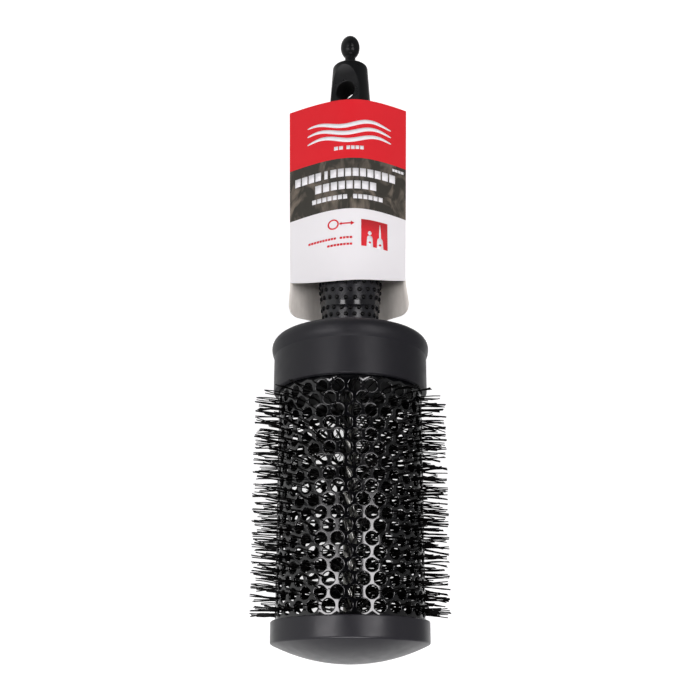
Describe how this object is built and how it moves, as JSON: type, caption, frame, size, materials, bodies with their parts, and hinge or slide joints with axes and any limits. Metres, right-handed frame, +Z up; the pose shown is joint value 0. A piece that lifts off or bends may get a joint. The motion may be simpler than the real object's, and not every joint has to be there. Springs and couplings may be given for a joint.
{
  "type": "round thermal hair brush",
  "caption": "Round thermal hair brush with a perforated tube and bristles, a rubber grip, a pull-out sectioning pick with a hang hole, and a bowed card sleeve.",
  "frame": {"origin": "on the surface that the bristle tips lie on, under the middle of the brush's length and on its centre line", "axes": "+Y along the brush's axis, from the dome of the end cap to the knob of the pick; +Z up, out through the face of the card; +X to the right of someone who reads the card"},
  "size_m": [0.0728, 0.2552, 0.0727],
  "materials": {
    "ceramic_black": "gloss",
    "bristle_nylon": "satin",
    "core_steel": "satin",
    "ferrule_metal": "satin",
    "soft_touch": "matte",
    "inner_plastic": "satin",
    "handle_plastic": "satin",
    "grip_rubber": "satin",
    "pick_plastic": "satin",
    "card_print": "satin",
    "card_board": "matte"
  },
  "bodies": {
    "brush": {"barrel": "ceramic_black", "bristle_rows": "bristle_nylon", "core_wire_a": "core_steel", "core_wire_b": "core_steel", "core_tip_ferrule": "ferrule_metal", "core_anchor_ferrule": "ferrule_metal", "end_cap": "soft_touch", "cap_insert": "inner_plastic", "collar": "soft_touch", "barrel_hub": "inner_plastic", "handle_core": "handle_plastic", "grip_sleeve": "grip_rubber", "pick_socket": "inner_plastic"},
    "pick": {"pick_head": "pick_plastic", "pick_pin": "pick_plastic"},
    "card": {"card_front": "card_print", "card_back": "card_board", "card_glue_flap": "card_board"}
  },
  "joints": [
    {"name": "pick_pull", "type": "slide", "parent": "brush", "child": "pick", "axis": [0, 1, 0], "range_m": [0, 0.074]},
    {"name": "card_slide", "type": "slide", "parent": "brush", "child": "card", "axis": [0, 1, 0], "range_m": [0, 0.128]}
  ]
}
